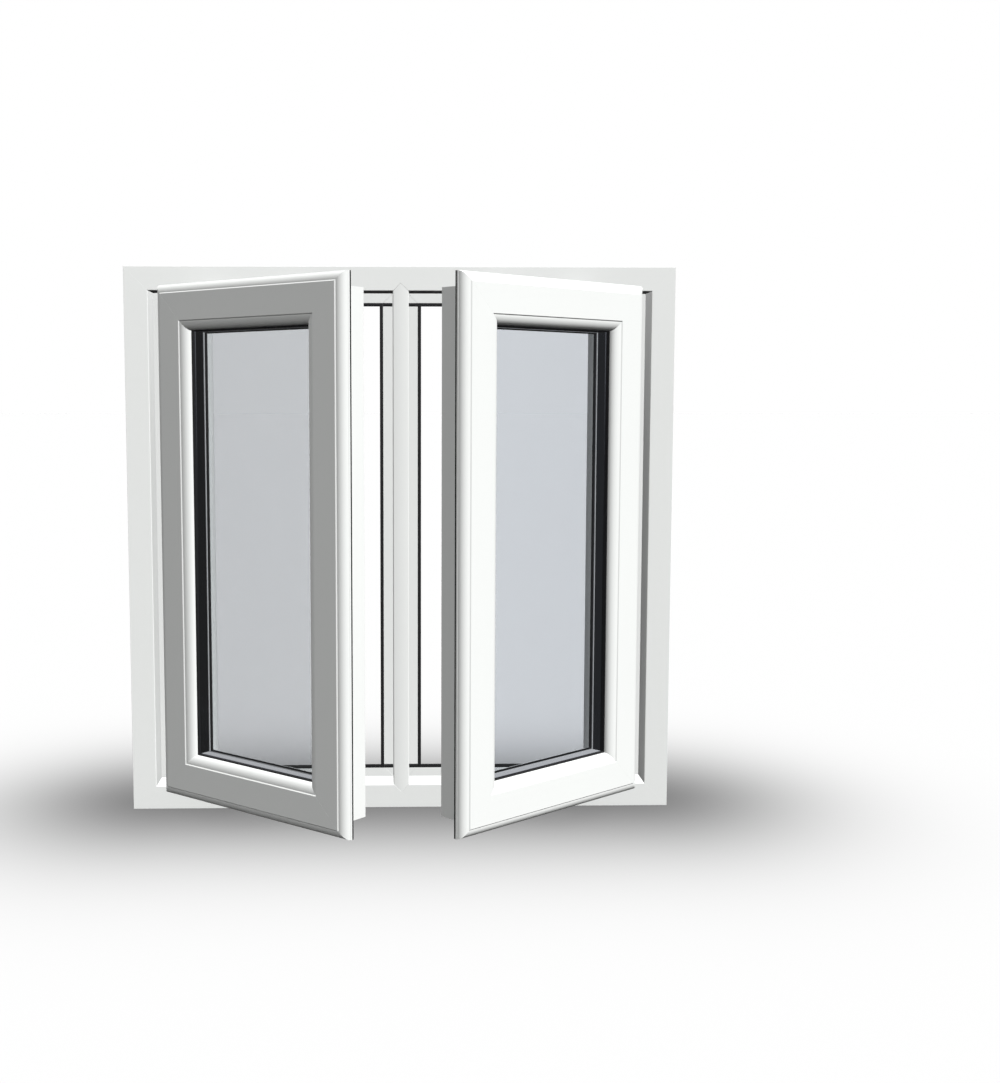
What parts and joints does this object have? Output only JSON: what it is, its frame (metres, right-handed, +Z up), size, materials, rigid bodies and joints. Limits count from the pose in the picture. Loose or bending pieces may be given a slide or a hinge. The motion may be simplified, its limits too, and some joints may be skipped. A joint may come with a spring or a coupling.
{
  "type": "casement window",
  "caption": "White plastic double casement window with a central mullion: glazed side-hung sashes standing open outwards on sliding friction stays, each with a cockspur handle.",
  "frame": {"origin": "middle of the frame's underside: centre of its width and of its 70 mm depth", "axes": "+X to the right as seen from outside, +Y from the outside into the room, +Z up"},
  "size_m": [0.9, 0.3557, 0.9],
  "materials": {
    "white_upvc": "satin white, extruded and corner-welded",
    "black_gasket": "matt black",
    "clear_glass": "clear float glass, polished",
    "black_spacer": "matt black",
    "stainless_steel": "brushed",
    "nylon_shoe": "dark, matt",
    "white_handle": "smooth white powder coat"
  },
  "bodies": {
    "frame": {"frame_cill": "white_upvc", "frame_left_jamb": "white_upvc", "frame_head": "white_upvc", "frame_right_jamb": "white_upvc", "frame_mullion": "white_upvc", "left_frame_gasket": "black_gasket", "right_frame_gasket": "black_gasket", "left_striker": "stainless_steel", "right_striker": "stainless_steel", "left_bottom_track": "stainless_steel", "left_top_track": "stainless_steel", "right_bottom_track": "stainless_steel", "right_top_track": "stainless_steel"},
    "left_sash": {"left_bottom_rail": "white_upvc", "left_hinge_stile": "white_upvc", "left_top_rail": "white_upvc", "left_lock_stile": "white_upvc", "left_flange_gasket": "black_gasket", "left_outer_gasket": "black_gasket", "left_outer_pane": "clear_glass", "left_inner_pane": "clear_glass", "left_spacer_bar": "black_spacer", "left_bottom_bead": "white_upvc", "left_left_bead": "white_upvc", "left_top_bead": "white_upvc", "left_right_bead": "white_upvc", "left_handle_base": "white_handle", "left_bottom_sash_arm": "stainless_steel", "left_top_sash_arm": "stainless_steel"},
    "left_short_arms": {"left_bottom_short_arm": "stainless_steel", "left_top_short_arm": "stainless_steel"},
    "left_long_arms": {"left_bottom_long_arm": "stainless_steel", "left_top_long_arm": "stainless_steel"},
    "left_shoes": {"left_bottom_shoe": "nylon_shoe", "left_top_shoe": "nylon_shoe"},
    "left_handle": {"left_handle_lever": "white_handle"},
    "right_sash": {"right_bottom_rail": "white_upvc", "right_hinge_stile": "white_upvc", "right_top_rail": "white_upvc", "right_lock_stile": "white_upvc", "right_flange_gasket": "black_gasket", "right_outer_gasket": "black_gasket", "right_outer_pane": "clear_glass", "right_inner_pane": "clear_glass", "right_spacer_bar": "black_spacer", "right_bottom_bead": "white_upvc", "right_left_bead": "white_upvc", "right_top_bead": "white_upvc", "right_right_bead": "white_upvc", "right_handle_base": "white_handle", "right_bottom_sash_arm": "stainless_steel", "right_top_sash_arm": "stainless_steel"},
    "right_short_arms": {"right_bottom_short_arm": "stainless_steel", "right_top_short_arm": "stainless_steel"},
    "right_long_arms": {"right_bottom_long_arm": "stainless_steel", "right_top_long_arm": "stainless_steel"},
    "right_shoes": {"right_bottom_shoe": "nylon_shoe", "right_top_shoe": "nylon_shoe"},
    "right_handle": {"right_handle_lever": "white_handle"}
  },
  "joints": [
    {"name": "left_arm_swing", "type": "hinge", "parent": "frame", "child": "left_short_arms", "pos_m": [-0.264, -0.027, 0], "axis": [0, 0, 1], "range_deg": [-41.3, 23.7]},
    {"name": "left_sash_turn", "type": "hinge", "parent": "left_short_arms", "child": "left_sash", "pos_m": [-0.32448, -0.08013, 0], "axis": [0, 0, -1], "range_deg": [-82.6, 47.4]},
    {"name": "left_long_arm_turn", "type": "hinge", "parent": "left_sash", "child": "left_long_arms", "pos_m": [-0.25423, -0.14184, 0], "axis": [0, 0, 1], "range_deg": [-82.6, 47.4]},
    {"name": "left_shoe_turn", "type": "hinge", "parent": "left_long_arms", "child": "left_shoes", "pos_m": [-0.12351, -0.027, 0], "axis": [0, 0, -1], "range_deg": [-41.3, 23.7]},
    {"name": "left_handle_turn", "type": "hinge", "parent": "left_sash", "child": "left_handle", "pos_m": [-0.08331, -0.23743, 0.44], "axis": [-0.66, -0.7513, 0], "range_deg": [0, 90]},
    {"name": "right_arm_swing", "type": "hinge", "parent": "frame", "child": "right_short_arms", "pos_m": [0.264, -0.027, 0], "axis": [0, 0, -1], "range_deg": [-41.3, 23.7]},
    {"name": "right_sash_turn", "type": "hinge", "parent": "right_short_arms", "child": "right_sash", "pos_m": [0.32448, -0.08013, 0], "axis": [0, 0, 1], "range_deg": [-82.6, 47.4]},
    {"name": "right_long_arm_turn", "type": "hinge", "parent": "right_sash", "child": "right_long_arms", "pos_m": [0.25423, -0.14184, 0], "axis": [0, 0, -1], "range_deg": [-82.6, 47.4]},
    {"name": "right_shoe_turn", "type": "hinge", "parent": "right_long_arms", "child": "right_shoes", "pos_m": [0.12351, -0.027, 0], "axis": [0, 0, 1], "range_deg": [-41.3, 23.7]},
    {"name": "right_handle_turn", "type": "hinge", "parent": "right_sash", "child": "right_handle", "pos_m": [0.08331, -0.23743, 0.44], "axis": [-0.66, 0.7513, 0], "range_deg": [0, 90]}
  ],
  "couplings": [
    {"joint": "left_sash_turn", "follows": "left_arm_swing", "ratio": 2},
    {"joint": "left_long_arm_turn", "follows": "left_arm_swing", "ratio": 2},
    {"joint": "left_shoe_turn", "follows": "left_arm_swing", "ratio": 1},
    {"joint": "right_sash_turn", "follows": "right_arm_swing", "ratio": 2},
    {"joint": "right_long_arm_turn", "follows": "right_arm_swing", "ratio": 2},
    {"joint": "right_shoe_turn", "follows": "right_arm_swing", "ratio": 1}
  ]
}
